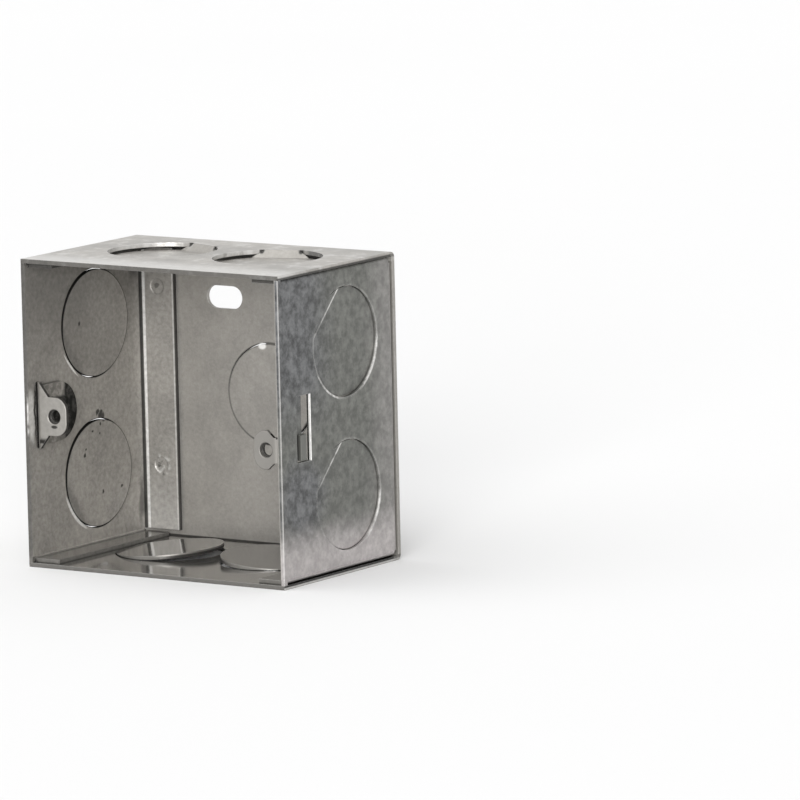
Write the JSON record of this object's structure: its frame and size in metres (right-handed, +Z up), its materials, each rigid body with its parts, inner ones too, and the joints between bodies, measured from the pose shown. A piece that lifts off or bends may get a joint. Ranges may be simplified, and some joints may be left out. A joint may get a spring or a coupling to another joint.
{
  "type": "junction box",
  "caption": "Square galvanised steel junction box for flush mounting, open at the front, with pressed-in round knockouts, slotted fixing holes, a fixed tapped lug and a sliding tapped lug.",
  "frame": {"origin": "under the middle of the box, on the plane of the bottom sheet's outer face", "axes": "+Z up the box, +Y towards its back so that the mouth faces -Y, +X to the right seen from the mouth"},
  "size_m": [0.073, 0.048, 0.073],
  "materials": {
    "wrapper_steel": "hot-dip zinc coating, satin, faint spangle",
    "left_side_steel": "hot-dip zinc coating, satin, faint spangle",
    "right_side_steel": "hot-dip zinc coating, satin, faint spangle",
    "fixed_lug_steel": "zinc coating, satin, blackened round the weld of the foot",
    "lug_steel": "zinc coating, satin"
  },
  "bodies": {
    "box": {"wrapper": "wrapper_steel", "left_side": "left_side_steel", "right_side": "right_side_steel", "fixed_lug": "fixed_lug_steel"},
    "lug": {"adjustable_lug": "lug_steel"}
  },
  "joints": [
    {"name": "lug_slide", "type": "slide", "parent": "box", "child": "lug", "axis": [0, 0, 1], "range_m": [0, 0.0092]}
  ]
}
